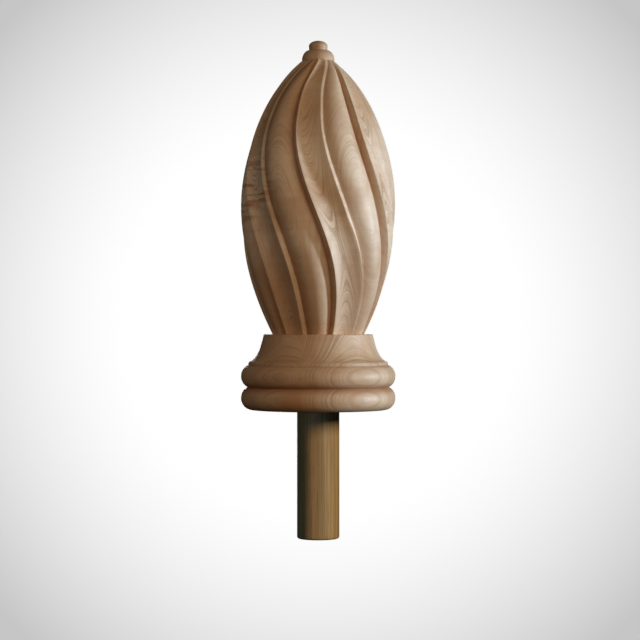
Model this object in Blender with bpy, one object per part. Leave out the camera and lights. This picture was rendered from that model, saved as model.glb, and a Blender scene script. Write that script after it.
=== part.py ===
# Newel post finial: a turned and spiral-carved maple finial on a hardwood dowel pin.
# Metres, +Z up. The origin is on the axis, at the flat seat that rests on the post,
# and the front of the finial faces -Y.

import math

import bmesh
import bpy

# The carved bulb, between the flange of the base and the cap at its tip
FOOT_HEIGHT = 0.0452
FOOT_RADIUS = 0.0282
FOOT_LEAN = math.radians(27.0)        # how far the foot's outline leans out from upright
FOOT_FULLNESS = 0.0322                # length of the curve's handle at the foot
BELLY_HEIGHT = 0.1200
BELLY_RADIUS = 0.0464
BELLY_FULLNESS_BELOW = 0.0235
BELLY_FULLNESS_ABOVE = 0.0290
CROWN_HEIGHT = 0.2089
CROWN_RADIUS = 0.0101
CROWN_LEAN = math.radians(50.0)
CROWN_FULLNESS = 0.0345
ROWS_BELOW_BELLY = 12
ROWS_ABOVE_BELLY = 16

# The carving: hollow flutes and convex reeds take turns. To the right of each flute a shallow
# V cut leads up to a reed, and a deep V cut parts the reed from the next flute.
PAIRS = 6                             # reeds, and as many flutes
FLUTE_TURN = 22.4                     # degrees from a flute's left arris to its right one
FLUTE_SPREADS = (6.6, 3.8, 3.8, 3.8, 3.8, 1.2)   # degrees that each flute gains at the foot
FOOT_ZONE_TOP = 0.1130                # height below which the flutes widen towards the foot
CROWN_ZONE_BOTTOM = 0.1650            # height above which the deep cuts deepen towards the crown
FLUTE_DEPTH = 0.068                   # depth of a flute's middle, as a share of the local radius
FLUTE_LEAN = 0.88                     # below 1 the deepest line lies left of the middle; 1 at the foot
FLUTE_DEPTH_GAIN = 0.020              # how much deeper it is at the foot
RIGHT_ARRIS_DEPTH = 0.027             # how far the right arris lies below the outline, likewise
RIGHT_ARRIS_RISE = 0.028              # how much higher it is at the foot
SHALLOW_WALL_TURN = 3.0               # degrees from the right arris down to the shallow cut
SHALLOW_CUT_DEPTH = 0.055
SHALLOW_CUT_GAIN = 0.037              # how much deeper it is at the foot
DEEP_WALL_TURN = 3.8                  # degrees from the deep cut up to the next left arris
DEEP_WALL_GAIN = 1.0                  # how much wider it is from the shoulder upward
DEEP_CUT_DEPTH = 0.090
DEEP_CUT_RISE = 0.050                 # how much deeper it is at the crown
WALL_WIDTH = 0.0020                   # no wall is narrower than this, towards the tip
CREST_SHARE = 0.43                    # how far across a reed its crest lies
CREST_SHIFT = 0.10                    # how much further to the right it lies at the foot
CREST_SHIFT_ABOVE = 0.15              # and at the crown
REED_POWER_LEFT = 1.7
REED_POWER_RIGHT = 2.1
FLUTE_STEPS = 4
REED_STEPS = 6

# The twist: degrees by which a flute's left arris stands to the right of the front, going up
TWIST_AT_FOOT = 17.9
SWEEP = 37.9                          # swing to the left between the foot and the shoulder
SWEEP_HEIGHT = 0.1283
SWEEP_EASE = 1.23
HOOK = 21.5                           # swing back to the right above the shoulder
HOOK_POWER = 3.3
SHOULDER_HEIGHT = 0.176
LAG = 1.1                             # degrees that it stays further to the left about mid-height
LAG_HEIGHT = 0.122
LAG_REACH = 0.028                     # height over which the lag dies away, up and down

# The turned base: two equal tori, a fillet, a flare and the flange under the bulb
TORUS_CENTRE_RADIUS = 0.0400
TORUS_BULGE = 0.0064
TORUS_HALF_HEIGHT = 0.00705
UPPER_TORUS_HEIGHT = 0.0201           # height of its widest circle
FILLET_BOTTOM = (0.0420, 0.0267)      # radius and height
FILLET_TOP = (0.0399, 0.0294)
FILLET_SWELL = 0.0007
FLARE_HANDLE_BELOW = 0.0043
FLARE_LEAN_BELOW = math.radians(54.0)
FLARE_HANDLE_ABOVE = 0.0085
FLARE_LEAN_ABOVE = math.radians(13.0)
FLANGE_RADIUS = 0.0329
FLANGE_EASING = 0.0007                # rounding of the flange's top corner
TORUS_STEPS = 7
FLARE_STEPS = 5

# The turned tip: a domed cap with a small round-topped knob
CAP_RADIUS = 0.0098
CAP_BOTTOM = 0.2093
CAP_TOP = 0.2156
CAP_STEPS = 4
KNOB_RADIUS = 0.0056
KNOB_NECK_RADIUS = 0.0054
KNOB_SHOULDER = 0.2182
KNOB_TOP = 0.2214
KNOB_STEPS = 4

# The dowel pin and its socket
PIN_RADIUS = 0.0127
PIN_PROJECTION = 0.0774               # below the seat
PIN_DEPTH = 0.0380                    # up into the base
PIN_EASING = 0.0014                   # rounding of the pin's ends
PIN_SIDES = 36
PIN_EASING_STEPS = 2
GLUE_GAP = 0.0003

MAPLE = (0.52, 0.36, 0.22, 1.0)
PIN_WOOD = (0.24, 0.17, 0.08, 1.0)


def bezier(start, start_handle, end_handle, end, steps):
    """Points along one cubic curve, both ends included, as (radius, height)."""
    points = []
    for step in range(steps + 1):
        t = step / steps
        weights = ((1 - t) ** 3, 3 * t * (1 - t) ** 2, 3 * t * t * (1 - t), t ** 3)
        corners = (start, start_handle, end_handle, end)
        points.append(tuple(sum(w * c[axis] for w, c in zip(weights, corners)) for axis in (0, 1)))
    return points


def ellipse_arc(centre, half_width, half_height, from_degrees, to_degrees, steps):
    """Points on an ellipse in the outline's plane; 0 degrees is outward and 90 is up."""
    points = []
    for step in range(steps + 1):
        angle = math.radians(from_degrees + (to_degrees - from_degrees) * step / steps)
        radius = centre[0] + half_width * math.cos(angle)
        points.append((radius, centre[1] + half_height * math.sin(angle)))
    return points


def bulb_outline():
    """The envelope that the arrises and the reeds' crests reach, from foot to crown."""
    foot = (FOOT_RADIUS, FOOT_HEIGHT)
    belly = (BELLY_RADIUS, BELLY_HEIGHT)
    crown = (CROWN_RADIUS, CROWN_HEIGHT)
    foot_handle = (FOOT_RADIUS + FOOT_FULLNESS * math.sin(FOOT_LEAN),
                   FOOT_HEIGHT + FOOT_FULLNESS * math.cos(FOOT_LEAN))
    crown_handle = (CROWN_RADIUS + CROWN_FULLNESS * math.sin(CROWN_LEAN),
                    CROWN_HEIGHT - CROWN_FULLNESS * math.cos(CROWN_LEAN))
    lower = bezier(foot, foot_handle, (BELLY_RADIUS, BELLY_HEIGHT - BELLY_FULLNESS_BELOW),
                   belly, ROWS_BELOW_BELLY)
    upper = bezier(belly, (BELLY_RADIUS, BELLY_HEIGHT + BELLY_FULLNESS_ABOVE), crown_handle,
                   crown, ROWS_ABOVE_BELLY)
    return lower + upper[1:]


def twist(height):
    """Degrees that the first flute's left arris stands to the right of the front."""
    rise = min(1.0, (height - FOOT_HEIGHT) / SWEEP_HEIGHT) ** SWEEP_EASE
    sweep = SWEEP * rise * rise * (3 - 2 * rise)
    above = max(0.0, (height - SHOULDER_HEIGHT) / (CROWN_HEIGHT - SHOULDER_HEIGHT))
    lag = LAG * math.exp(-((height - LAG_HEIGHT) / LAG_REACH) ** 2)
    return TWIST_AT_FOOT - sweep - lag + HOOK * above ** HOOK_POWER


def share_between(height, start, end):
    """How far a height has come from start to end, kept within 0 and 1."""
    return min(1.0, max(0.0, (height - start) / (end - start)))


def flute_and_reed(radius, height, spread):
    """One flute and its reed, as (degrees from the left arris, depth as a share of the radius)."""
    low = share_between(height, FOOT_ZONE_TOP, FOOT_HEIGHT)
    high = share_between(height, BELLY_HEIGHT, SHOULDER_HEIGHT)
    top = share_between(height, CROWN_ZONE_BOTTOM, CROWN_HEIGHT)
    flute_turn = FLUTE_TURN + spread * low
    flute_depth = FLUTE_DEPTH + FLUTE_DEPTH_GAIN * low
    right_arris = RIGHT_ARRIS_DEPTH - RIGHT_ARRIS_RISE * math.sqrt(low)
    flute_lean = FLUTE_LEAN + (1 - FLUTE_LEAN) * low
    section = []
    for step in range(FLUTE_STEPS + 1):
        across = step / FLUTE_STEPS
        hollow = flute_depth * (1 - (2 * across ** flute_lean - 1) ** 2)
        section.append((flute_turn * across, hollow + right_arris * across))
    narrowest = math.degrees(WALL_WIDTH / radius)
    reed_start = flute_turn + max(SHALLOW_WALL_TURN, narrowest)
    reed_end = 360.0 / PAIRS - max(DEEP_WALL_TURN + DEEP_WALL_GAIN * high, narrowest)
    shallow_cut = SHALLOW_CUT_DEPTH + SHALLOW_CUT_GAIN * math.sqrt(low)
    deep_cut = DEEP_CUT_DEPTH + DEEP_CUT_RISE * top
    crest = CREST_SHARE + CREST_SHIFT * low + CREST_SHIFT_ABOVE * top
    for step in range(REED_STEPS + 1):
        across = step / REED_STEPS
        if across < crest:
            depth = shallow_cut * (1 - across / crest) ** REED_POWER_LEFT
        else:
            depth = deep_cut * ((across - crest) / (1 - crest)) ** REED_POWER_RIGHT
        section.append((reed_start + (reed_end - reed_start) * across, depth))
    return section


COLUMNS = PAIRS * (FLUTE_STEPS + REED_STEPS + 2)


def circle_point(radius, degrees, height):
    """A point by its turn to the right of the front."""
    angle = math.radians(degrees)
    return (radius * math.sin(angle), -radius * math.cos(angle), height)


def carved_ring(radius, height):
    ring = []
    for pair, spread in enumerate(FLUTE_SPREADS):
        for turn, depth in flute_and_reed(radius, height, spread):
            degrees = twist(height) + 360.0 * pair / PAIRS + turn
            ring.append(circle_point(radius * (1 - depth), degrees, height))
    return ring


def plain_ring(radius, height, count, beside=0.0):
    """A circle with a point on each axis, its first point close to that many degrees."""
    first = round(beside * count / 360.0)
    return [circle_point(radius, 360.0 * (first + i) / count, height) for i in range(count)]


def base_outline():
    """From the seat's outer edge up to the flange's top."""
    lower_torus_height = TORUS_HALF_HEIGHT
    # the angle at which each torus meets the V groove half way between them
    half_spacing = (UPPER_TORUS_HEIGHT - lower_torus_height) / 2
    meet = math.degrees(math.asin(half_spacing / TORUS_HALF_HEIGHT))
    fillet_meet = math.degrees(math.asin((FILLET_BOTTOM[1] - UPPER_TORUS_HEIGHT) / TORUS_HALF_HEIGHT))
    lower = ellipse_arc((TORUS_CENTRE_RADIUS, lower_torus_height), TORUS_BULGE, TORUS_HALF_HEIGHT,
                        -90.0, meet, TORUS_STEPS)
    upper = ellipse_arc((TORUS_CENTRE_RADIUS, UPPER_TORUS_HEIGHT), TORUS_BULGE, TORUS_HALF_HEIGHT,
                        -meet, fillet_meet, TORUS_STEPS)
    fillet_middle = ((FILLET_BOTTOM[0] + FILLET_TOP[0]) / 2 + FILLET_SWELL,
                     (FILLET_BOTTOM[1] + FILLET_TOP[1]) / 2 + FILLET_SWELL)
    flange_edge = (FLANGE_RADIUS, FOOT_HEIGHT - FLANGE_EASING)
    flare = bezier(FILLET_TOP,
                   (FILLET_TOP[0] - FLARE_HANDLE_BELOW * math.sin(FLARE_LEAN_BELOW),
                    FILLET_TOP[1] + FLARE_HANDLE_BELOW * math.cos(FLARE_LEAN_BELOW)),
                   (flange_edge[0] + FLARE_HANDLE_ABOVE * math.sin(FLARE_LEAN_ABOVE),
                    flange_edge[1] - FLARE_HANDLE_ABOVE * math.cos(FLARE_LEAN_ABOVE)),
                   flange_edge, FLARE_STEPS)
    flange_top = (FLANGE_RADIUS - FLANGE_EASING, FOOT_HEIGHT)
    return lower + upper[1:] + [fillet_middle] + flare + [flange_top]


def tip_outline():
    """From the cap's lower edge up to the last ring of the knob."""
    cap = ellipse_arc((KNOB_NECK_RADIUS, CAP_BOTTOM), CAP_RADIUS - KNOB_NECK_RADIUS,
                      CAP_TOP - CAP_BOTTOM, 0.0, 90.0, CAP_STEPS)
    knob = ellipse_arc((0.0, KNOB_SHOULDER), KNOB_RADIUS, KNOB_TOP - KNOB_SHOULDER,
                       0.0, 90.0, KNOB_STEPS)
    return cap + knob[:-1]


def skin_rings(rings, first_pole, last_pole):
    """A closed mesh through the rings in turn, each end fanned to a point on the axis."""
    mesh = bmesh.new()
    loops = [[mesh.verts.new(point) for point in ring] for ring in rings]
    for below, above in zip(loops, loops[1:]):
        for i in range(len(below)):
            j = (i + 1) % len(below)
            mesh.faces.new((below[i], below[j], above[j], above[i]))
    for loop, pole in ((loops[0], first_pole), (loops[-1], last_pole)):
        tip = mesh.verts.new(pole)
        for i in range(len(loop)):
            mesh.faces.new((loop[i], loop[(i + 1) % len(loop)], tip))
    bmesh.ops.recalc_face_normals(mesh, faces=mesh.faces)
    return mesh


def wood_material(name, color, roughness):
    material = bpy.data.materials.new(name)
    material.use_nodes = True
    shader = material.node_tree.nodes["Principled BSDF"]
    shader.inputs["Base Color"].default_value = color
    shader.inputs["Roughness"].default_value = roughness
    shader.inputs["Metallic"].default_value = 0.0
    return material


def add_object(name, mesh, material):
    data = bpy.data.meshes.new(name)
    mesh.to_mesh(data)
    mesh.free()
    data.shade_smooth()
    data.set_sharp_from_angle(angle=math.radians(30.0))
    data.materials.append(material)
    part = bpy.data.objects.new(name, data)
    bpy.context.scene.collection.objects.link(part)
    return part


def carved_finial(material):
    """Knob, cap, bulb and base, one piece of wood with a blind socket in its underside."""
    socket_radius = PIN_RADIUS + GLUE_GAP
    socket_top = PIN_DEPTH + GLUE_GAP
    socket_and_base = [(socket_radius, socket_top), (socket_radius, 0.0)] + base_outline()
    foot_turn, crown_turn = twist(FOOT_HEIGHT), twist(CROWN_HEIGHT)
    rings = [plain_ring(radius, height, COLUMNS, foot_turn) for radius, height in socket_and_base]
    rings += [carved_ring(radius, height) for radius, height in bulb_outline()]
    rings += [plain_ring(radius, height, COLUMNS, crown_turn) for radius, height in tip_outline()]
    mesh = skin_rings(rings, (0.0, 0.0, socket_top), (0.0, 0.0, KNOB_TOP))
    return add_object("carved_finial", mesh, material)


def dowel_pin(material):
    """A plain round pin with eased ends, half of it glued into the base."""
    corner = PIN_RADIUS - PIN_EASING
    outline = ellipse_arc((corner, -PIN_PROJECTION + PIN_EASING), PIN_EASING, PIN_EASING,
                          -90.0, 0.0, PIN_EASING_STEPS)
    outline += ellipse_arc((corner, PIN_DEPTH - PIN_EASING), PIN_EASING, PIN_EASING,
                           0.0, 90.0, PIN_EASING_STEPS)
    rings = [plain_ring(radius, height, PIN_SIDES) for radius, height in outline]
    mesh = skin_rings(rings, (0.0, 0.0, -PIN_PROJECTION), (0.0, 0.0, PIN_DEPTH))
    return add_object("dowel_pin", mesh, material)


def build():
    for old in list(bpy.data.objects):
        bpy.data.objects.remove(old, do_unlink=True)
    carved_finial(wood_material("maple", MAPLE, 0.42))
    dowel_pin(wood_material("pin_wood", PIN_WOOD, 0.6))


build()
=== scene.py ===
import math

import bpy
import numpy as np
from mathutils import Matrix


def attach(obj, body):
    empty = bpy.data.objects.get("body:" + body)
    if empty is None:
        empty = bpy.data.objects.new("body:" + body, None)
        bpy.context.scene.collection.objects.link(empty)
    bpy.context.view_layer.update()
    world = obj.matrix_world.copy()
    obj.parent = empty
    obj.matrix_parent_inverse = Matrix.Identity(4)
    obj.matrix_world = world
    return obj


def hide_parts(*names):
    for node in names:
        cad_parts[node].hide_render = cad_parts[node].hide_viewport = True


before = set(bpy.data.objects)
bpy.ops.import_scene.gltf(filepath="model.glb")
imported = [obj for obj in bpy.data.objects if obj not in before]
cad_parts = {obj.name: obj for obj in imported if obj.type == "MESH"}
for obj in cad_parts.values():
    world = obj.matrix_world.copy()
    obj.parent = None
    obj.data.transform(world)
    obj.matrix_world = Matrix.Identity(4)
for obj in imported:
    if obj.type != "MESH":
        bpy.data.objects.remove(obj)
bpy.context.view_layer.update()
print("frame loaded:", ", ".join(sorted(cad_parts)))


# Outlines are lists of (radius, height) in metres, heights counted from the seat.

def curvePoints(start, startHandle, endHandle, end, steps):
    points = []
    for step in range(steps + 1):
        t = step / steps
        weights = ((1 - t) ** 3, 3 * t * (1 - t) ** 2, 3 * t * t * (1 - t), t ** 3)
        corners = (start, startHandle, endHandle, end)
        points.append(tuple(sum(w * c[axis] for w, c in zip(weights, corners)) for axis in (0, 1)))
    return points


def arcPoints(centre, halfWidth, halfHeight, fromDegrees, toDegrees, steps):
    points = []
    for step in range(steps + 1):
        angle = math.radians(fromDegrees + (toDegrees - fromDegrees) * step / steps)
        radius = centre[0] + halfWidth * math.cos(angle)
        points.append((radius, centre[1] + halfHeight * math.sin(angle)))
    return points


def straightPoints(start, end, steps):
    shares = [step / steps for step in range(steps + 1)]
    return [tuple(a + (b - a) * share for a, b in zip(start, end)) for share in shares]


# The same turned form as the CAD solid, with many more rings. Leans are in degrees, and flareBelow
# and flareAbove are the length and lean of the curve's handle at that end.
turned = {
    "footHeight": 0.0452, "footRadius": 0.0282, "footLean": 27.0, "footFullness": 0.0322,
    "bellyHeight": 0.1200, "bellyRadius": 0.0464, "fullnessBelow": 0.0235, "fullnessAbove": 0.0290,
    "crownHeight": 0.2089, "crownRadius": 0.0101, "crownLean": 50.0, "crownFullness": 0.0345,
    "torusRadius": 0.0400, "torusBulge": 0.00637, "torusHalfHeight": 0.00705, "upperTorus": 0.0201,
    "filletBottom": (0.0420, 0.0267), "filletTop": (0.0399, 0.0294), "filletSwell": 0.0007,
    "flareBelow": (0.0043, 54.0), "flareAbove": (0.0085, 13.0),
    "flangeRadius": 0.0329, "flangeEasing": 0.0007,
    "capRadius": 0.0098, "capBottom": 0.2093, "capTop": 0.2156,
    "knobRadius": 0.0056, "knobNeck": 0.0054, "knobShoulder": 0.2182, "knobTop": 0.2214,
    "bulbRows": (110, 150), "torusRows": (22, 20), "filletRows": 6, "flareRows": 22,
    "easingRows": 4, "tipRows": 14, "socketRows": 4, "seatRows": 8,
}

# The carving and its twist, as in the CAD solid. Turns are in degrees, depths are shares of the
# radius, and a pair is a flute and the reed after it. Towards the foot, fluteSpreads (one for each
# flute), fluteDepthGain, shallowCutGain and crestShift are added, rightArrisRise is taken off, and
# fluteLean goes to 1. deepWallGain is added from the belly up to the shoulder, and deepCutRise and
# crestShiftAbove towards the crown. columns counts the mesh's columns on the flute, the shallow
# wall, the reed and the deep wall.
carving = {
    "pairs": 6, "fluteTurn": 22.4, "fluteSpreads": (6.6, 3.8, 3.8, 3.8, 3.8, 1.2),
    "footZoneTop": 0.1130, "fluteDepth": 0.068, "fluteDepthGain": 0.020, "fluteLean": 0.88,
    "rightArrisDepth": 0.027, "rightArrisRise": 0.028,
    "shallowWallTurn": 3.0, "shallowCutDepth": 0.055, "shallowCutGain": 0.037,
    "deepWallTurn": 3.8, "deepWallGain": 1.0, "wallWidth": 0.0020,
    "crownZoneBottom": 0.1650, "deepCutDepth": 0.090, "deepCutRise": 0.050,
    "crestShare": 0.43, "crestShift": 0.10, "crestShiftAbove": 0.15, "reedPowers": (1.7, 2.1),
    "twistAtFoot": 17.9, "sweep": 37.9, "sweepHeight": 0.1283, "sweepEase": 1.23,
    "hook": 21.5, "hookPower": 3.3, "shoulderHeight": 0.176,
    "lag": 1.1, "lagHeight": 0.122, "lagReach": 0.028,
    "easing": 0.0003, "easingShifts": (-0.9, -0.45, 0.0, 0.45, 0.9), "columns": (13, 3, 16, 3),
}

def bulbOutline():
    t = turned
    lean, crownLean = math.radians(t["footLean"]), math.radians(t["crownLean"])
    foot = (t["footRadius"], t["footHeight"])
    belly = (t["bellyRadius"], t["bellyHeight"])
    crown = (t["crownRadius"], t["crownHeight"])
    footHandle = (foot[0] + t["footFullness"] * math.sin(lean),
                  foot[1] + t["footFullness"] * math.cos(lean))
    crownHandle = (crown[0] + t["crownFullness"] * math.sin(crownLean),
                   crown[1] - t["crownFullness"] * math.cos(crownLean))
    lower = curvePoints(foot, footHandle, (belly[0], belly[1] - t["fullnessBelow"]), belly,
                        t["bulbRows"][0])
    upper = curvePoints(belly, (belly[0], belly[1] + t["fullnessAbove"]), crownHandle, crown,
                        t["bulbRows"][1])
    return lower + upper[1:]


def baseOutline():
    t = turned
    halfHeight = t["torusHalfHeight"]
    meet = math.degrees(math.asin((t["upperTorus"] - halfHeight) / 2 / halfHeight))
    filletMeet = math.degrees(math.asin((t["filletBottom"][1] - t["upperTorus"]) / halfHeight))
    lower = arcPoints((t["torusRadius"], halfHeight), t["torusBulge"], halfHeight, -90, meet,
                      t["torusRows"][0])
    upper = arcPoints((t["torusRadius"], t["upperTorus"]), t["torusBulge"], halfHeight,
                      -meet, filletMeet, t["torusRows"][1])
    swell = t["filletSwell"]
    filletMiddle = tuple((a + b) / 2 + swell for a, b in zip(t["filletBottom"], t["filletTop"]))
    fillet = curvePoints(upper[-1], filletMiddle, filletMiddle, t["filletTop"], t["filletRows"])
    edge = (t["flangeRadius"], t["footHeight"] - t["flangeEasing"])
    lengthBelow, leanBelow = t["flareBelow"][0], math.radians(t["flareBelow"][1])
    lengthAbove, leanAbove = t["flareAbove"][0], math.radians(t["flareAbove"][1])
    flare = curvePoints(t["filletTop"],
                        (t["filletTop"][0] - lengthBelow * math.sin(leanBelow),
                         t["filletTop"][1] + lengthBelow * math.cos(leanBelow)),
                        (edge[0] + lengthAbove * math.sin(leanAbove),
                         edge[1] - lengthAbove * math.cos(leanAbove)), edge, t["flareRows"])
    easing = arcPoints((edge[0] - t["flangeEasing"], edge[1]), t["flangeEasing"],
                       t["flangeEasing"], 0, 90, t["easingRows"])
    return lower + upper[1:] + fillet[1:] + flare[1:] + easing[1:]


def tipOutline():
    t = turned
    cap = arcPoints((t["knobNeck"], t["capBottom"]), t["capRadius"] - t["knobNeck"],
                    t["capTop"] - t["capBottom"], 0, 90, t["tipRows"])
    knob = arcPoints((0.0, t["knobShoulder"]), t["knobRadius"], t["knobTop"] - t["knobShoulder"],
                     0, 90, t["tipRows"])
    return cap + knob[:-1]


def twistAt(height):
    c, t = carving, turned
    rise = np.minimum(1.0, np.maximum(0.0, (height - t["footHeight"]) / c["sweepHeight"]))
    rise = rise ** c["sweepEase"]
    above = np.maximum(0.0, height - c["shoulderHeight"]) / (t["crownHeight"] - c["shoulderHeight"])
    lag = c["lag"] * np.exp(-((height - c["lagHeight"]) / c["lagReach"]) ** 2)
    swing = c["sweep"] * rise * rise * (3 - 2 * rise)
    return c["twistAtFoot"] - swing - lag + c["hook"] * above ** c["hookPower"]


def shareBetween(height, start, end):
    return min(1.0, max(0.0, (height - start) / (end - start)))


# The section at one height: its corners as turns from the left arris, and the depths there
def sectionAt(radius, height, spread):
    c = carving
    low = shareBetween(height, c["footZoneTop"], turned["footHeight"])
    high = shareBetween(height, turned["bellyHeight"], c["shoulderHeight"])
    top = shareBetween(height, c["crownZoneBottom"], turned["crownHeight"])
    narrowest = math.degrees(c["wallWidth"] / radius)
    fluteEnd = c["fluteTurn"] + spread * low
    return {
        "fluteEnd": fluteEnd,
        "reedStart": fluteEnd + max(c["shallowWallTurn"], narrowest),
        "reedEnd": 360.0 / c["pairs"] - max(c["deepWallTurn"] + c["deepWallGain"] * high, narrowest),
        "fluteDepth": c["fluteDepth"] + c["fluteDepthGain"] * low,
        "fluteLean": c["fluteLean"] + (1 - c["fluteLean"]) * low,
        "rightArris": c["rightArrisDepth"] - c["rightArrisRise"] * math.sqrt(low),
        "shallowCut": c["shallowCutDepth"] + c["shallowCutGain"] * math.sqrt(low),
        "deepCut": c["deepCutDepth"] + c["deepCutRise"] * top,
        "crest": c["crestShare"] + c["crestShift"] * low + c["crestShiftAbove"] * top,
    }


def cutDepthAt(turn, section):
    s = section
    period = 360.0 / carving["pairs"]
    turn = np.mod(turn, period)
    across = np.clip(turn / s["fluteEnd"], 0.0, 1.0)
    flute = s["fluteDepth"] * (1 - (2 * across ** s["fluteLean"] - 1) ** 2)
    flute += s["rightArris"] * across
    down = np.clip((turn - s["fluteEnd"]) / (s["reedStart"] - s["fluteEnd"]), 0.0, 1.0)
    shallowWall = s["rightArris"] + (s["shallowCut"] - s["rightArris"]) * down
    over = np.clip((turn - s["reedStart"]) / (s["reedEnd"] - s["reedStart"]), 0.0, 1.0)
    powerLeft, powerRight = carving["reedPowers"]
    reed = s["shallowCut"] * np.maximum(0.0, 1 - over / s["crest"]) ** powerLeft
    reed += s["deepCut"] * np.maximum(0.0, (over - s["crest"]) / (1 - s["crest"])) ** powerRight
    deepWall = s["deepCut"] * np.clip((period - turn) / (period - s["reedEnd"]), 0.0, 1.0)
    return np.select([turn < s["fluteEnd"], turn < s["reedStart"], turn < s["reedEnd"]],
                     [flute, shallowWall, reed], deepWall)


# Columns follow the section's corners, with a close pair beside each to ease it
def columnTurns(section, easing):
    corners = [0.0] + [section[name] for name in ("fluteEnd", "reedStart", "reedEnd")]
    corners.append(360.0 / carving["pairs"])
    stops = zip(corners, corners[1:], carving["columns"])
    turns = []
    for start, end, count in stops:
        turns += [start] + list(np.linspace(start + easing, end - easing, count))
    return np.array(turns)


def carvedRing(radius, height):
    easing = math.degrees(carving["easing"] / radius)
    turns, depths = [], []
    for pair, spread in enumerate(carving["fluteSpreads"]):
        section = sectionAt(radius, height, spread)
        columns = columnTurns(section, easing)
        # each corner is rounded over by the mean of the depths on both sides of it
        nearby = [cutDepthAt(columns + shift * easing, section) for shift in carving["easingShifts"]]
        depths.append(np.mean(nearby, axis=0))
        turns.append(columns + pair * 360.0 / carving["pairs"])
    return ringPoints(radius * (1 - np.concatenate(depths)), height,
                      np.concatenate(turns) + twistAt(height))


def ringPoints(radius, height, degrees):
    angles = np.radians(degrees)
    radius = np.broadcast_to(radius, angles.shape)
    return np.stack([radius * np.sin(angles), -radius * np.cos(angles),
                     np.full(angles.shape, height)], axis=1)


sharpAngle = 40.0  # in degrees: edges that bend more than this aren't smoothed over


# One closed skin through rings of equal count, with a point on the axis at each end
def skinMesh(name, rings, firstPole, lastPole):
    count = len(rings[0])
    points = np.vstack(rings + [np.array([firstPole]), np.array([lastPole])])
    around = np.arange(count)
    after = (around + 1) % count
    faces = []
    for row in range(len(rings) - 1):
        low, high = row * count, (row + 1) * count
        faces += np.stack([low + around, low + after, high + after, high + around], axis=1).tolist()
    first, last, top = len(points) - 2, len(points) - 1, (len(rings) - 1) * count
    faces += np.stack([after, around, np.full(count, first)], axis=1).tolist()
    faces += np.stack([top + around, top + after, np.full(count, last)], axis=1).tolist()
    mesh = bpy.data.meshes.new(name)
    mesh.from_pydata(points.tolist(), [], faces)
    mesh.update()
    mesh.shade_smooth()
    mesh.set_sharp_from_angle(angle=math.radians(sharpAngle))
    piece = bpy.data.objects.new(name, mesh)
    bpy.context.scene.collection.objects.link(piece)
    return piece


pin = {
    "radius": 0.0127, "projection": 0.0774, "depth": 0.0380, "easing": 0.0014,
    "gap": 0.0003, "sides": 120, "rows": 80, "easingRows": 6,
}


def makeFinial():
    carved = [carvedRing(radius, height) for radius, height in bulbOutline()]
    count = len(carved[0])
    evenTurn = 360.0 / count
    even = np.arange(count) * evenTurn
    footTurn, crownTurn = (evenTurn * round(twistAt(turned[end]) / evenTurn)
                           for end in ("footHeight", "crownHeight"))
    socketRadius = pin["radius"] + pin["gap"]
    socketTop = pin["depth"] + pin["gap"]
    plain = straightPoints((socketRadius, socketTop), (socketRadius, 0.0), turned["socketRows"])
    seat = straightPoints((socketRadius, 0.0), (turned["torusRadius"], 0.0), turned["seatRows"])
    plain += seat[1:-1] + baseOutline()
    rings = [ringPoints(radius, height, even + footTurn) for radius, height in plain] + carved
    rings += [ringPoints(radius, height, even + crownTurn) for radius, height in tipOutline()]
    return skinMesh("finial", rings, (0, 0, socketTop), (0, 0, turned["knobTop"]))


def makePin():
    corner = pin["radius"] - pin["easing"]
    foot, top = -pin["projection"], pin["depth"]
    outline = arcPoints((corner, foot + pin["easing"]), pin["easing"], pin["easing"], -90, 0,
                        pin["easingRows"])
    side = straightPoints((pin["radius"], foot + pin["easing"]),
                          (pin["radius"], top - pin["easing"]), pin["rows"])
    outline += side[1:-1]
    outline += arcPoints((corner, top - pin["easing"]), pin["easing"], pin["easing"], 0, 90,
                         pin["easingRows"])
    degrees = np.arange(pin["sides"]) * 360.0 / pin["sides"]
    rings = [ringPoints(radius, height, degrees) for radius, height in outline]
    return skinMesh("dowelPin", rings, (0, 0, foot), (0, 0, top))


# Small helpers for node trees: each takes sockets or plain numbers and returns a socket
def plug(tree, socket, value):
    if isinstance(value, bpy.types.NodeSocket):
        tree.links.new(value, socket)
    else:
        socket.default_value = value


def calc(tree, operation, first, second=0.0, third=0.0):
    node = tree.nodes.new("ShaderNodeMath")
    node.operation = operation
    for socket, value in zip(node.inputs, (first, second, third)):
        plug(tree, socket, value)
    return node.outputs[0]


def vectorCalc(tree, operation, first, second=(0.0, 0.0, 0.0)):
    node = tree.nodes.new("ShaderNodeVectorMath")
    node.operation = operation
    plug(tree, node.inputs[0], first)
    plug(tree, node.inputs["Scale" if operation == "SCALE" else 1], second)
    return node.outputs["Value" if operation == "LENGTH" else "Vector"]


def noiseAlong(tree, value):
    node = tree.nodes.new("ShaderNodeTexNoise")
    node.noise_dimensions = "1D"
    plug(tree, node.inputs["W"], value)
    return node.outputs["Fac"]


def stretched(tree, vector, scale):
    return vectorCalc(tree, "MULTIPLY", vector, scale)


def noise(tree, vector, scale, detail=2.0, roughness=0.5, color=False):
    node = tree.nodes.new("ShaderNodeTexNoise")
    plug(tree, node.inputs["Vector"], vector)
    plug(tree, node.inputs["Scale"], scale)
    node.inputs["Detail"].default_value = detail
    node.inputs["Roughness"].default_value = roughness
    return node.outputs["Color" if color else "Fac"]


def ramp(tree, value, fromLow, fromHigh, toLow=0.0, toHigh=1.0):
    node = tree.nodes.new("ShaderNodeMapRange")
    node.interpolation_type = "SMOOTHSTEP"
    plug(tree, node.inputs["Value"], value)
    for name, number in (("From Min", fromLow), ("From Max", fromHigh),
                         ("To Min", toLow), ("To Max", toHigh)):
        plug(tree, node.inputs[name], number)
    return node.outputs["Result"]


colorSockets = {"first": 6, "second": 7, "result": 2}  # where the Mix node keeps its colours


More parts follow.
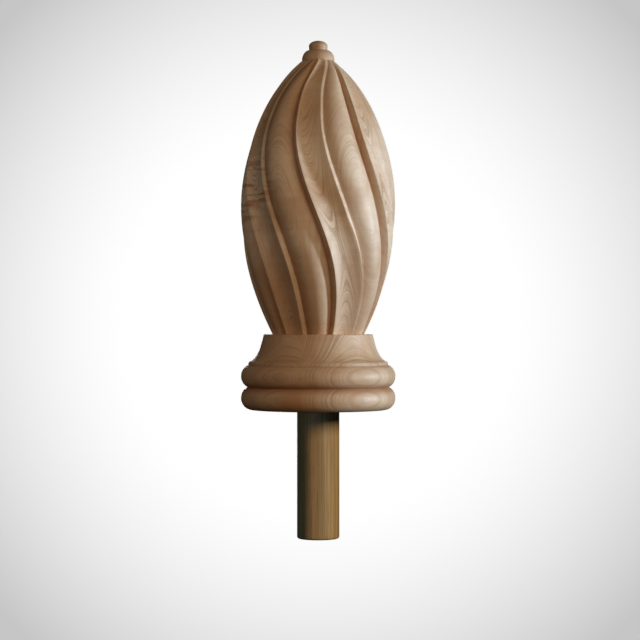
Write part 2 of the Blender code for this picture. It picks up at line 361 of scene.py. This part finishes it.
def blend(tree, share, first, second):
    node = tree.nodes.new("ShaderNodeMix")
    node.data_type = "RGBA"
    plug(tree, node.inputs["Factor"], share)
    plug(tree, node.inputs[colorSockets["first"]], first)
    plug(tree, node.inputs[colorSockets["second"]], second)
    return node.outputs[colorSockets["result"]]


def distanceTo(tree, vector, point):
    return vectorCalc(tree, "LENGTH", vectorCalc(tree, "SUBTRACT", vector, point))


def newGroup(name, inputs, outputs):
    group = bpy.data.node_groups.new(name, "ShaderNodeTree")
    for label, kind in inputs:
        group.interface.new_socket(label, in_out="INPUT", socket_type="NodeSocket" + kind)
    for label in outputs:
        group.interface.new_socket(label, in_out="OUTPUT", socket_type="NodeSocketFloat")
    return group, group.nodes.new("NodeGroupInput"), group.nodes.new("NodeGroupOutput")


# Growth rings of uneven width and strength, round a pith that runs up and down beside the piece
ringFigure = {
    "squash": (1.0, 1.0, 0.6), "bendDetail": (3.0, 0.45), "crowdingScale": 0.45, "crowding": 2.6,
    "late": (0.52, 0.95), "yearEnd": (1.0, 0.96), "strengthPower": 3.0, "faintest": 0.50,
    "breakScale": 45.0, "breaks": (0.38, 0.60), "brokenLeast": 0.35, "tonePower": 1.6,
}


def makeGrowthRings():
    f = ringFigure
    group, given, made = newGroup("growthRings", (
        ("Place", "Vector"), ("Pith", "Vector"), ("Ring Width", "Float"), ("Wander", "Float"),
        ("Wander Scale", "Float")), ("Lines", "Tone"))
    place, pith = given.outputs["Place"], given.outputs["Pith"]
    bend = noise(group, stretched(group, place, f["squash"]), given.outputs["Wander Scale"],
                 *f["bendDetail"], color=True)
    bend = vectorCalc(group, "SUBTRACT", bend, (0.5, 0.5, 0.5))  # noise lies about a half
    bend = vectorCalc(group, "SCALE", bend, given.outputs["Wander"])
    moved = vectorCalc(group, "ADD", place, bend)
    level = stretched(group, vectorCalc(group, "SUBTRACT", moved, pith), (1.0, 1.0, 0.0))
    years = calc(group, "DIVIDE", vectorCalc(group, "LENGTH", level), given.outputs["Ring Width"])
    crowding = noiseAlong(group, calc(group, "MULTIPLY", years, f["crowdingScale"]))
    crowding = calc(group, "SUBTRACT", crowding, 0.5)
    years = calc(group, "MULTIPLY_ADD", crowding, f["crowding"], years)
    season = calc(group, "FRACT", years)
    strength = group.nodes.new("ShaderNodeTexWhiteNoise")
    strength.noise_dimensions = "1D"
    plug(group, strength.inputs["W"], calc(group, "FLOOR", years))
    late = calc(group, "MULTIPLY", ramp(group, season, *f["late"]), ramp(group, season, *f["yearEnd"]))
    strong = calc(group, "POWER", strength.outputs["Value"], f["strengthPower"])
    broken = ramp(group, noise(group, moved, f["breakScale"]), *f["breaks"], f["brokenLeast"], 1.0)
    lines = calc(group, "MULTIPLY", late, ramp(group, strong, 0.0, 1.0, f["faintest"], 1.0))
    plug(group, made.inputs["Lines"], calc(group, "MULTIPLY", lines, broken))
    # each year darkens slowly, then the next one starts pale
    darkening = calc(group, "POWER", season, f["tonePower"])
    tone = calc(group, "MULTIPLY", darkening, strength.outputs["Value"])
    plug(group, made.inputs["Tone"], calc(group, "MULTIPLY", tone, broken))
    return group


# Short dark pores and long soft streaks, both drawn out along the grain
fibreFigure = {
    "poreDetail": (1.0, 0.4), "pores": (0.58, 0.72), "streakScale": 0.18, "streakDetail": (3.0, 0.6),
}


def makeFibres():
    f = fibreFigure
    group, given, made = newGroup("fibres", (
        ("Place", "Vector"), ("Pore Width", "Float"), ("Pore Length", "Float")), ("Pores", "Streaks"))
    perMetre = calc(group, "DIVIDE", 1.0, given.outputs["Pore Width"])
    squash = calc(group, "DIVIDE", 1.0, given.outputs["Pore Length"])
    axes = group.nodes.new("ShaderNodeCombineXYZ")
    plug(group, axes.inputs["X"], 1.0)
    plug(group, axes.inputs["Y"], 1.0)
    plug(group, axes.inputs["Z"], squash)
    along = stretched(group, given.outputs["Place"], axes.outputs[0])
    pores = noise(group, along, perMetre, *f["poreDetail"])
    plug(group, made.inputs["Pores"], ramp(group, pores, *f["pores"]))
    streakScale = calc(group, "MULTIPLY", perMetre, f["streakScale"])
    plug(group, made.inputs["Streaks"], noise(group, along, streakScale, *f["streakDetail"]))
    return group


def useGroup(tree, group, values):
    node = tree.nodes.new("ShaderNodeGroup")
    node.node_tree = group
    for name, value in values.items():
        plug(tree, node.inputs[name], value)
    return node.outputs


def painted(tree, name):
    node = tree.nodes.new("ShaderNodeAttribute")
    node.attribute_name = name
    return node.outputs["Fac"]


def newMaterial(name):
    material = bpy.data.materials.new(name)
    material.use_nodes = True
    tree = material.node_tree
    place = tree.nodes.new("ShaderNodeTexCoord").outputs["Object"]
    axes = tree.nodes.new("ShaderNodeSeparateXYZ")
    plug(tree, axes.inputs[0], place)
    return material, tree.nodes["Principled BSDF"], place, axes.outputs


def raiseGrain(tree, shader, grain, wood):
    bump = tree.nodes.new("ShaderNodeBump")
    bump.inputs["Distance"].default_value = wood["bump"]
    bump.inputs["Strength"].default_value = wood["bumpStrength"]
    height = calc(tree, "MULTIPLY_ADD", grain["Pores"], wood["poreDip"], grain["Streaks"])
    plug(tree, bump.inputs["Height"], height)
    plug(tree, shader.inputs["Normal"], bump.outputs["Normal"])


# The blank is glued up from two boards, and each has a pith of its own in front of the piece.
# wander holds a value for the base and one for the bulb, and linesOnReeds one for the left and one
# for the right. Apart from the colours, which come first, four values together are where something
# starts to change, where it ends, and what it is at each.
maple = {
    # Colours: the one named light is painted light, blush is the wood's own blush and also painted shade,
    # shadeAndDarkTip is painted shade on downward faces and the darker tip, and cut is painted shade in
    # the cuts and grooves; the others are the wood's own.
    "pale": (0.72, 0.560, 0.400, 1.0), "deep": (0.31, 0.165, 0.078, 1.0),
    "blushAndPaintedShade": (0.56, 0.34, 0.18, 1.0), "shadeAndDarkTip": (0.46, 0.29, 0.165, 1.0),
    "cut": (0.30, 0.105, 0.030, 1.0), "curl": (0.48, 0.22, 0.095, 1.0),
    "light": (0.90, 0.76, 0.59, 1.0),
    "leftPith": (-0.094, -0.177, 0.0), "rightPith": (0.123, -0.158, 0.0),
    "leftRings": 0.0018, "rightRings": 0.0019, "glueLine": -0.0095, "glueBlend": 0.0001,
    "hollowing": 0.16, "wander": (0.0036, 0.0066), "wanderChange": (-0.01, 0.02),
    "wanderScale": 22.0,
    "leftToRight": (-0.015, 0.010), "linesOnReeds": (0.42, 0.28), "bulbEdge": 0.001,
    "linesOnTori": 0.75, "toriTop": (0.026, 0.030),
    # painted light about the middle of the bulb, more in the flutes, then painted shade at the foot and
    # crown
    "paintedLightBelow": (0.075, 0.105), "paintedLightAbove": (0.180, 0.150), "paintedLightShare": 0.6,
    "paintedLightInFlutes": 0.35,
    "paintedShadeBelow": (0.115, 0.050, 0.0, 0.55), "paintedShadeAbove": (0.145, 0.185, 0.0, 0.5),
    "paintedShadeOnRight": 0.25,
    "patchSquash": (1.0, 1.0, 0.6), "patchNoise": (55.0, 3.0, 0.55),
    "patches": (0.42, 0.68, 0.0, 0.55),
    "curlPlace": (-0.041, -0.021, 0.130), "curlReach": 0.028, "curlCore": 0.3,
    "curlShares": (0.10, 0.95), "curlStretch": (40.0, 40.0, 300.0), "curlRidges": (0.42, 0.62),
    "redPlace": (-0.015, -0.043, 0.0045), "redReach": 0.013, "redCore": 0.2, "redShare": 0.75,
    "poreWidth": 0.00035, "poreLength": 6.0, "poreShare": 0.12, "cutShare": 0.75,
    "underside": (-0.3, -1.0, 0.0, 0.6), "tipShares": (0.45, 0.8), "tipEdge": 0.0002,
    "streaksInGloss": (0.3, 0.7, 0.48, 0.61), "specular": 0.6,
    "bump": 0.00005, "bumpStrength": 0.5, "poreDip": -0.7,
}


def makeMaple(growthRings, fibres):
    m = maple
    material, shader, place, axes = newMaterial("maple")
    tree = material.node_tree
    across, height, inFlute = axes["X"], axes["Z"], painted(tree, "hollow")
    # the rings bend inward under the flutes, so that they cross them as hanging loops
    narrowed = calc(tree, "MULTIPLY_ADD", inFlute, -m["hollowing"], 1.0)
    inward = tree.nodes.new("ShaderNodeCombineXYZ")
    plug(tree, inward.inputs["X"], narrowed)
    plug(tree, inward.inputs["Y"], narrowed)
    plug(tree, inward.inputs["Z"], 1.0)
    layered = stretched(tree, place, inward.outputs[0])
    # they wave more in the bulb than in the base, and show most in the flutes and on the flare
    bulbFoot = turned["footHeight"]
    wanderZone = (bulbFoot + change for change in m["wanderChange"])
    wander = ramp(tree, height, *wanderZone, *m["wander"])
    onReeds = ramp(tree, across, *m["leftToRight"], *m["linesOnReeds"])
    onBulb = ramp(tree, height, bulbFoot, bulbFoot + m["bulbEdge"], 1.0, onReeds)
    onTori = ramp(tree, height, *m["toriTop"], m["linesOnTori"], 1.0)
    showing = calc(tree, "MULTIPLY", calc(tree, "MAXIMUM", inFlute, onBulb), onTori)
    boards = [useGroup(tree, growthRings, {
        "Place": layered, "Pith": m[side + "Pith"], "Ring Width": m[side + "Rings"],
        "Wander": wander, "Wander Scale": m["wanderScale"]}) for side in ("left", "right")]
    onRight = ramp(tree, across, m["glueLine"] - m["glueBlend"], m["glueLine"] + m["glueBlend"])
    lines, tone = (blend(tree, onRight, boards[0][name], boards[1][name]) for name in ("Lines", "Tone"))
    grain = useGroup(tree, fibres, {
        "Place": place, "Pore Width": m["poreWidth"], "Pore Length": m["poreLength"]})
    # painted light: paler about the middle of the bulb, most of all in the flutes; painted shade:
    # redder and darker at the crown and towards the base, most of all on the left, the shaded side
    middle = calc(tree, "MULTIPLY", ramp(tree, height, *m["paintedLightBelow"]),
                  ramp(tree, height, *m["paintedLightAbove"]))
    paintedLightShare = calc(tree, "MULTIPLY_ADD", inFlute, m["paintedLightInFlutes"], m["paintedLightShare"])
    color = blend(tree, calc(tree, "MULTIPLY", middle, paintedLightShare), m["pale"], m["light"])
    paintedShade = calc(tree, "MAXIMUM", ramp(tree, height, *m["paintedShadeBelow"]), ramp(tree, height, *m["paintedShadeAbove"]))
    shadeOnLeft = ramp(tree, across, *m["leftToRight"], 1.0, m["paintedShadeOnRight"])
    color = blend(tree, calc(tree, "MULTIPLY", paintedShade, shadeOnLeft), color, m["blushAndPaintedShade"])
    # soft reddish patches, then the rings, then a curly figure that is strong on the left only
    patches = noise(tree, stretched(tree, place, m["patchSquash"]), *m["patchNoise"])
    color = blend(tree, ramp(tree, patches, *m["patches"]), color, m["blushAndPaintedShade"])
    color = blend(tree, calc(tree, "MULTIPLY", tone, showing), color, m["blushAndPaintedShade"])
    color = blend(tree, calc(tree, "MULTIPLY", lines, showing), color, m["deep"])
    curl = ramp(tree, noise(tree, stretched(tree, place, m["curlStretch"]), 1.0), *m["curlRidges"])
    fromCurl = distanceTo(tree, place, m["curlPlace"])
    curlShare = ramp(tree, fromCurl, m["curlReach"], m["curlCore"] * m["curlReach"], *m["curlShares"])
    color = blend(tree, calc(tree, "MULTIPLY", curl, curlShare), color, m["curl"])
    # a redder patch low on the front of the base
    fromRed = distanceTo(tree, layered, m["redPlace"])
    redShare = ramp(tree, fromRed, m["redReach"], m["redCore"] * m["redReach"], 0.0, m["redShare"])
    color = blend(tree, redShare, color, m["curl"])
    color = blend(tree, calc(tree, "MULTIPLY", grain["Pores"], m["poreShare"]), color, m["deep"])
    # painted shade darkens the downward faces, and the tip above the crown is darker as well
    facing = tree.nodes.new("ShaderNodeSeparateXYZ")
    plug(tree, facing.inputs[0], tree.nodes.new("ShaderNodeNewGeometry").outputs["Normal"])
    tip = ramp(tree, height, turned["crownHeight"], turned["knobShoulder"], *m["tipShares"])
    onTip = calc(tree, "GREATER_THAN", height, turned["crownHeight"] + m["tipEdge"])
    shadeAndDarkTip = calc(tree, "MAXIMUM", ramp(tree, facing.outputs["Z"], *m["underside"]),
                    calc(tree, "MULTIPLY", tip, onTip))
    color = blend(tree, shadeAndDarkTip, color, m["shadeAndDarkTip"])
    # painted shade in and beside the V cuts and in the base's grooves, darkest at the bottoms of the cuts
    color = blend(tree, calc(tree, "MULTIPLY", painted(tree, "cut"), m["cutShare"]), color, m["cut"])
    plug(tree, shader.inputs["Base Color"], color)
    plug(tree, shader.inputs["Roughness"], ramp(tree, grain["Streaks"], *m["streaksInGloss"]))
    shader.inputs["Specular IOR Level"].default_value = m["specular"]
    raiseGrain(tree, shader, grain, m)
    return material


pinWood = {
    "pale": (0.37, 0.222, 0.092, 1.0), "amber": (0.37, 0.170, 0.045, 1.0),
    "deep": (0.16, 0.080, 0.024, 1.0),
    "pith": (0.03, 0.09, 0.0), "ringWidth": 0.0021, "squash": (1.0, 1.0, 0.12),
    "wander": 0.0016, "wanderScale": 30.0, "poreWidth": 0.0005, "poreLength": 40.0,
    "amberRight": (0.004, -0.003, 0.0, 0.9), "amberLeft": (-0.0115, -0.0085),
    "lineShare": 0.7, "streaks": (0.35, 0.7, 0.0, 0.6), "poreShare": 0.5,
    "roughness": 0.55, "bump": 0.00012, "bumpStrength": 0.7, "poreDip": -0.8,
}


def makePinWood(growthRings, fibres):
    w = pinWood
    material, shader, place, axes = newMaterial("pinWood")
    tree = material.node_tree
    rings = useGroup(tree, growthRings, {
        "Place": stretched(tree, place, w["squash"]), "Pith": w["pith"], "Ring Width": w["ringWidth"],
        "Wander": w["wander"], "Wander Scale": w["wanderScale"]})
    grain = useGroup(tree, fibres, {
        "Place": place, "Pore Width": w["poreWidth"], "Pore Length": w["poreLength"]})
    # an amber band runs down the left of the front, short of the edge
    amber = calc(tree, "MULTIPLY", ramp(tree, axes["X"], *w["amberRight"]),
                 ramp(tree, axes["X"], *w["amberLeft"]))
    color = blend(tree, amber, w["pale"], w["amber"])
    color = blend(tree, calc(tree, "MULTIPLY", rings["Lines"], w["lineShare"]), color, w["deep"])
    color = blend(tree, ramp(tree, grain["Streaks"], *w["streaks"]), color, w["deep"])
    color = blend(tree, calc(tree, "MULTIPLY", grain["Pores"], w["poreShare"]), color, w["deep"])
    plug(tree, shader.inputs["Base Color"], color)
    shader.inputs["Roughness"].default_value = w["roughness"]
    raiseGrain(tree, shader, grain, w)
    return material


# Painted shade in the grooves of the base, as (height, reach, darkness)
grooveShade = ((0.0131, 0.0034, 0.85), (0.0268, 0.0012, 0.45))

# How dark the painted shade in the cuts is. Each value named Fade is lost with every wall width away
# from the bottom of the V, and reedFade is a share of onReeds, which has one value for each reed.
cutStain = {
    "onReeds": (0.4, 0.4, 0.4, 0.4, 0.4, 0.9), "reedFade": 0.3,
    "shallowWall": 0.2, "shallowWallFade": 0.8, "deepWall": 0.35,
    "besideDeep": 0.4, "besideDeepFade": 0.25, "deepBottom": 0.95, "deepBottomFade": 2.0,
}
ringMargin = 1e-6  # takes in the first and the last carved ring


# Two marks for the maple, each 0 to 1: painted shade, strongest near the bottoms of the cuts and
# grooves, and how far a point lies inside a flute
def paintShadeAndHollows(piece):
    c, mesh = cutStain, piece.data
    points = np.zeros(len(mesh.vertices) * 3)
    mesh.vertices.foreach_get("co", points)
    points = points.reshape(-1, 3)
    radii = np.hypot(points[:, 0], points[:, 1])
    turns = np.degrees(np.arctan2(points[:, 0], -points[:, 1])) - twistAt(points[:, 2])
    period = 360.0 / carving["pairs"]
    cut, hollow = np.zeros(len(points)), np.zeros(len(points))
    carvedFrom, carvedTo = turned["footHeight"] - ringMargin, turned["crownHeight"] + ringMargin
    for index, (radius, turn, height) in enumerate(zip(radii, turns, points[:, 2])):
        if carvedFrom < height < carvedTo:
            pair, turn = divmod(turn % 360.0, period)
            section = sectionAt(radius, height, carving["fluteSpreads"][int(pair)])
            shallow, deep = section["reedStart"], section["reedEnd"]
            toShallow = abs(turn - shallow) / (shallow - section["fluteEnd"])
            toDeep = abs(turn - deep) / (period - deep)
            byShallow = c["shallowWall"] - c["shallowWallFade"] * toShallow
            if turn > shallow:
                byShallow = c["onReeds"][int(pair)] * (1 - c["reedFade"] * toShallow)
            onDeepWall = c["deepWall"] if turn > deep else 0.0
            byDeep = c["besideDeep"] - c["besideDeepFade"] * toDeep if turn < deep else 0.0
            inDeep = c["deepBottom"] - c["deepBottomFade"] * toDeep
            cut[index] = max(onDeepWall, byShallow, byDeep, inDeep)
            if turn < section["fluteEnd"]:
                hollow[index] = math.sin(math.pi * turn / section["fluteEnd"])
    for height, reach, depth in grooveShade:
        near = np.clip(1 - np.abs(points[:, 2] - height) / reach, 0.0, 1.0)
        cut = np.maximum(cut, np.where(radii > turned["flangeRadius"], depth * near, 0.0))
    for name, values in (("cut", cut), ("hollow", hollow)):
        mesh.attributes.new(name, "FLOAT", "POINT").data.foreach_set("value", values.astype(np.float32))


growthRings, fibres = makeGrowthRings(), makeFibres()
finial = makeFinial()
paintShadeAndHollows(finial)
finial.data.materials.append(makeMaple(growthRings, fibres))
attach(finial, "root")
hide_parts("carved_finial")
print("finial carved:", len(finial.data.polygons), "faces")

dowelPin = makePin()
dowelPin.data.materials.append(makePinWood(growthRings, fibres))
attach(dowelPin, "root")
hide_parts("dowel_pin")
print("pin made:", len(dowelPin.data.polygons), "faces")


# A pale floor that turns up into a wall all round, far enough out to stay behind every view.
# It glows softly, fading outward from a bright patch behind the piece, as the photo's backdrop does.
stage = {"floorHeight": -0.42, "floorRadius": 2.6, "bendRadius": 1.2, "wallTop": 4.0,
         "color": (1.0, 1.0, 1.0, 1.0), "patchHeight": 0.055, "patchSpread": 0.095,
         "fade": 7.6, "fadePower": 1.35, "dimmest": 0.56, "seenFrom": 1.2,
         "innerRadius": 0.3, "sides": 96, "bendRows": 24, "roughness": 0.9}


def makeStage():
    bend = arcPoints((stage["floorRadius"], stage["floorHeight"] + stage["bendRadius"]),
                     stage["bendRadius"], stage["bendRadius"], -90, 0, stage["bendRows"])
    outline = [(stage["innerRadius"], stage["floorHeight"])] + bend
    outline.append((stage["floorRadius"] + stage["bendRadius"], stage["wallTop"]))
    degrees = np.arange(stage["sides"]) * 360.0 / stage["sides"]
    rings = [ringPoints(radius, height, degrees) for radius, height in outline]
    bowl = skinMesh("studioFloor", rings, (0, 0, stage["floorHeight"]), (0, 0, stage["wallTop"]))
    material, shader, _, axes = newMaterial("paleSweep")
    tree = material.node_tree
    shader.inputs["Base Color"].default_value = stage["color"]
    shader.inputs["Roughness"].default_value = stage["roughness"]
    shader.inputs["Emission Color"].default_value = stage["color"]
    # the fade goes by how far off the patch a point looks from the front
    aside = calc(tree, "POWER", calc(tree, "ABSOLUTE", axes["X"]), 2.0)
    aboveIt = calc(tree, "SUBTRACT", axes["Z"], stage["patchHeight"])
    aboveIt = calc(tree, "POWER", calc(tree, "ABSOLUTE", aboveIt), 2.0)
    reach = calc(tree, "SQRT", calc(tree, "ADD", aside, aboveIt))
    behind = calc(tree, "ADD", calc(tree, "ABSOLUTE", axes["Y"]), stage["seenFrom"])
    beyond = calc(tree, "SUBTRACT", calc(tree, "DIVIDE", reach, behind), stage["patchSpread"])
    beyond = calc(tree, "POWER", calc(tree, "MAXIMUM", beyond, 0.0), stage["fadePower"])
    glow = calc(tree, "MULTIPLY_ADD", beyond, -stage["fade"], 1.0)
    plug(tree, shader.inputs["Emission Strength"], calc(tree, "MAXIMUM", glow, stage["dimmest"]))
    bowl.data.materials.append(material)
    bowl.visible_diffuse = False
    bowl.visible_glossy = False
    bowl.visible_shadow = False
    return bowl


floor = makeStage()
print("floor laid")


# Soft boxes: azimuth to the right of the front, elevation, distance, side length, watts, colour.
# Each row ends with the pieces that its box lights: in the photo the pin is lit from further round
# to the front than the finial.
softBoxes = {
    "keyBox": (85.5, 3.0, 3.0, 0.30, 91.0, (0.70, 0.83, 0.96), (finial,)),
    "warmFill": (40.0, 15.0, 2.0, 1.45, 12.0, (1.0, 0.85, 0.62), (finial,)),
    "frontFill": (0.0, 10.0, 2.0, 1.40, 3.7, (1.0, 0.33, 0.02), (finial,)),
    "leftFill": (-57.0, 22.0, 2.0, 2.20, 5.1, (1.0, 0.99, 0.86), (finial,)),
    "pinBox": (50.0, 18.0, 3.0, 0.80, 90.0, (1.0, 0.94, 0.75), (dowelPin,)),
    "pinFill": (-30.0, -15.0, 2.0, 2.2, 9.0, (0.42, 0.72, 1.0), (dowelPin,)),
    "backFill": (183.0, 0.0, 2.5, 0.8, 28.0, (1.0, 0.93, 0.85), (finial, dowelPin)),
}
room = {"aimHeight": 0.10, "color": (1.0, 0.85, 0.7, 1.0), "strength": 0.003}


def makeLights():
    for name, (azimuth, elevation, distance, side, watts, color, pieces) in softBoxes.items():
        light = bpy.data.lights.new(name, "AREA")
        light.size, light.energy, light.color = side, watts, color
        lamp = bpy.data.objects.new(name, light)
        bpy.context.scene.collection.objects.link(lamp)
        a, e = math.radians(azimuth), math.radians(elevation)
        lamp.location = (distance * math.sin(a) * math.cos(e), -distance * math.cos(a) * math.cos(e),
                         room["aimHeight"] + distance * math.sin(e))
        lamp.rotation_euler = (math.pi / 2 - e, 0.0, a)
        lamp.visible_camera = False
        lit = bpy.data.collections.new(name + "Lights")
        for piece in pieces:
            lit.objects.link(piece)
        lamp.light_linking.receiver_collection = lit
    world = bpy.data.worlds.new("roomLight")
    world.use_nodes = True
    background = world.node_tree.nodes["Background"]
    background.inputs["Color"].default_value = room["color"]
    background.inputs["Strength"].default_value = room["strength"]
    bpy.context.scene.world = world
    bpy.context.scene.view_settings.view_transform = "Standard"


makeLights()
print("lights set")


# The photo's view: level, square on, far enough back for its slight perspective
photo = {"frameWidth": 640, "pixelsPerMetre": 1665.0, "distance": 1.201, "axisColumn": 318.2,
         "seatRow": 409.5, "sensor": 36.0}


def makeCamera():
    middle = photo["frameWidth"] / 2
    data = bpy.data.cameras.new("photoCamera")
    data.sensor_width = photo["sensor"]
    spanAtAxis = photo["frameWidth"] / photo["pixelsPerMetre"]
    data.lens = photo["sensor"] * photo["distance"] / spanAtAxis
    camera = bpy.data.objects.new("photoCamera", data)
    camera.location = ((middle - photo["axisColumn"]) / photo["pixelsPerMetre"], -photo["distance"],
                       (photo["seatRow"] - middle) / photo["pixelsPerMetre"])
    camera.rotation_euler = (math.pi / 2, 0.0, 0.0)
    bpy.context.scene.collection.objects.link(camera)
    bpy.context.scene.camera = camera


makeCamera()
print("camera placed")
